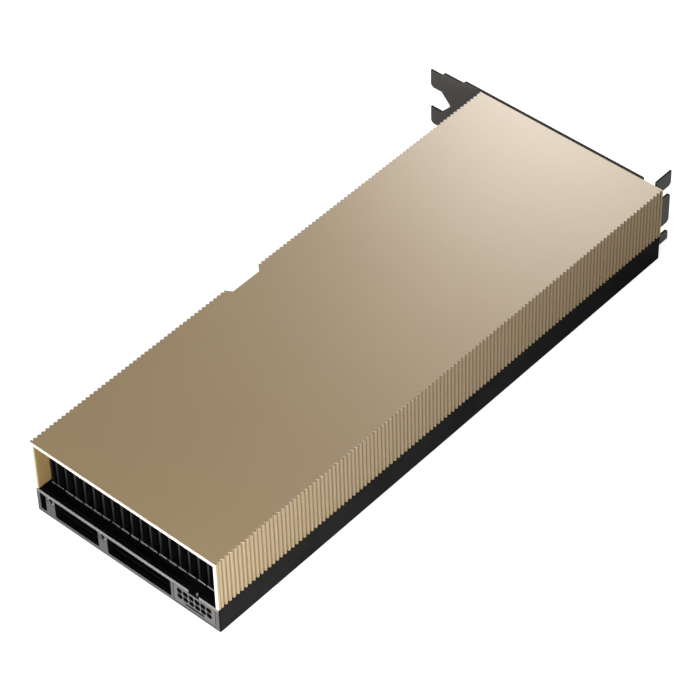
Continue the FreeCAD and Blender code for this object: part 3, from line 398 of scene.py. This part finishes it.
# the edges of each piece that are softened, one set after the other
finishes = {
    "cover": {"slot": "anodised_cover", "edges": [
        {"choose": isMouthEdge, "widthMm": 0.45, "segments": 2},
        {"choose": isTopOrRib, "widthMm": 0.32, "segments": 3}]},
    "base_frame": {"slot": "black_frame", "edges": [{"choose": isSharp, "widthMm": 0.18, "segments": 2}]},
    "bracket": {"slot": "dark_bracket", "edges": [{"choose": isSharp, "widthMm": 0.1, "segments": 2}]},
    "power_inlet_housing": {
        "slot": "black_plastic", "edges": [{"choose": isSharp, "widthMm": 0.1, "segments": 1}]},
}
joining = {"mergeMm": 0.001, "flatDegrees": 0.5}


def finishedCopy(nodeName, finish):  # its loose triangles are joined into whole faces first
    shape = bmesh.new()
    shape.from_mesh(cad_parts[nodeName].data)
    bmesh.ops.remove_doubles(shape, verts=shape.verts, dist=joining["mergeMm"] * mm)
    bmesh.ops.dissolve_limit(shape, angle_limit=math.radians(joining["flatDegrees"]),
                             verts=shape.verts, edges=shape.edges)
    for face in shape.faces:   # flat shading, so that a rib's valley takes no light from the top beside it
        face.smooth = False
    for kind in finish["edges"]:
        chosen = [edge for edge in shape.edges if kind["choose"](edge)]
        bmesh.ops.bevel(shape, geom=chosen, offset=kind["widthMm"] * mm, offset_type="OFFSET",
                        affect="EDGES", segments=kind["segments"], profile=0.5, clamp_overlap=True,
                        material=-1)
    mesh = bpy.data.meshes.new(nodeName + "Finished")
    shape.to_mesh(mesh)
    shape.free()
    mesh.materials.append(materials[nodeMaterials[nodeName]])
    piece = bpy.data.objects.new(nodeName + "Finished", mesh)
    bpy.context.scene.collection.objects.link(piece)
    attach(piece, "root")
    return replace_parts(piece, nodeName)


for nodeName, finish in finishes.items():
    piece = finishedCopy(nodeName, finish)
    print("finished", nodeName, len(piece.data.polygons), "faces")

floorLook = {"colour": "#F4F4F2", "roughness": 0.9, "size": 12.0, "gapMm": 0.02, "cameraGlow": 0.8,
             "tailGlow": 1.0, "bracketGlow": 0.0}   # what the card's sides mirror: brighter by the tail


def makeFloor(look):
    shape = bmesh.new()
    under = Matrix.Translation((0.0, 0.0, -look["gapMm"] * mm))   # just clear of the card's back
    bmesh.ops.create_grid(shape, x_segments=1, y_segments=1, size=look["size"] / 2, matrix=under)
    mesh = bpy.data.meshes.new("studioFloor")
    shape.to_mesh(mesh)
    shape.free()
    floor = bpy.data.objects.new("studioFloor", mesh)
    bpy.context.scene.collection.objects.link(floor)
    material, tree, shader, place = newMaterial("paleStudioFloor", look)
    ray = addNode(tree, "LightPath")
    seen = addNode(tree, "Math", product, {0: ray["Is Camera Ray"], 1: look["cameraGlow"]})[0]
    mirrored = addNode(tree, "Math", larger, {0: ray["Is Glossy Ray"], 1: ray["Is Transmission Ray"]})[0]
    pool = addNode(tree, "MapRange", None, {
        "Value": addNode(tree, "SeparateXYZ", None, {0: place})["X"], "From Min": near.x, "From Max": far.x,
        "To Min": look["tailGlow"], "To Max": look["bracketGlow"]})["Result"]
    glow = addNode(tree, "Math", {"operation": "MULTIPLY_ADD"}, {0: mirrored, 1: pool, 2: seen})[0]
    tree.links.new(glow, shader.inputs["Emission Strength"])
    shader.inputs["Emission Color"].default_value = (1, 1, 1, 1)
    mesh.materials.append(material)


worldLook = {"fill": 0.28, "mirrored": 0.55, "tint": "#F5F6F8"}


def makeWorld(look):  # white to the camera, a pale grey in a mirror, a soft even fill for all else
    world = bpy.data.worlds.new("studioWorld")
    world.use_nodes = True
    tree = world.node_tree
    tree.nodes.clear()
    ray = addNode(tree, "LightPath")
    seen = addNode(tree, "Math", larger, {0: ray["Is Camera Ray"], 1: ray["Is Transmission Ray"]})[0]
    soft = addNode(tree, "MapRange", None, {
        "Value": ray["Is Glossy Ray"], "To Min": look["fill"], "To Max": look["mirrored"]})["Result"]
    level = addNode(tree, "Math", larger, {0: seen, 1: soft})[0]
    sky = addNode(tree, "Background", None, {
        "Color": hexColour(look["tint"]), "Strength": level})["Background"]
    addNode(tree, "OutputWorld", None, {"Surface": sky})
    bpy.context.scene.world = world


# place and target in metres, size across in metres, power in watts
lampLooks = {
    "farOverheadSoftbox": {
        "place": (0.56, 0.32, 0.42), "target": (0.12, 0.0, 0.04), "size": (0.2, 0.2), "power": 1.5},
    "tailSoftbox": {
        "place": (-0.34, -0.03, 0.05), "target": (-0.139, -0.02, 0.015), "size": (0.15, 0.1),
        "power": 0.34},
    "tailCornerSoftbox": {
        "place": (-0.25, -0.18, 0.07), "target": (-0.1, -0.06, 0.02), "size": (0.08, 0.08), "power": 0.22},
    "highFill": {
        "place": (-0.8, -0.3, 1.2), "target": (0.0, 0.0, 0.0), "size": (0.9, 0.9), "power": 1.8},
}


def makeLamps(looks):
    for name, look in looks.items():
        light = bpy.data.lights.new(name, "AREA")
        light.shape = "RECTANGLE"
        light.size, light.size_y = look["size"]
        light.energy = look["power"]
        lamp = bpy.data.objects.new(name, light)
        lamp.location = look["place"]
        way = Vector(look["target"]) - Vector(look["place"])
        lamp.rotation_euler = way.to_track_quat("-Z", "Y").to_euler()
        bpy.context.scene.collection.objects.link(lamp)


cameraLook = {"place": (-0.67336, -0.62382, 0.91355), "target": (-0.01099, -0.01386, 0.02),
              "rollDegrees": -1.715, "lensMm": 164.78, "sensorMm": 36.0, "reach": 30.0}


def makeCamera(look):
    data = bpy.data.cameras.new("photoCamera")
    data.lens = look["lensMm"]
    data.sensor_width = look["sensorMm"]
    data.clip_end = look["reach"]
    camera = bpy.data.objects.new("photoCamera", data)
    way = Vector(look["target"]) - Vector(look["place"])
    turn = way.to_track_quat("-Z", "Y").to_matrix().to_4x4()
    roll = Matrix.Rotation(math.radians(look["rollDegrees"]), 4, "Z")
    camera.matrix_world = Matrix.Translation(look["place"]) @ turn @ roll
    bpy.context.scene.collection.objects.link(camera)
    bpy.context.scene.camera = camera


makeFloor(floorLook)
makeWorld(worldLook)
makeLamps(lampLooks)
makeCamera(cameraLook)
bpy.context.scene.view_settings.view_transform = "Standard"
print("stage, lamps and camera set")
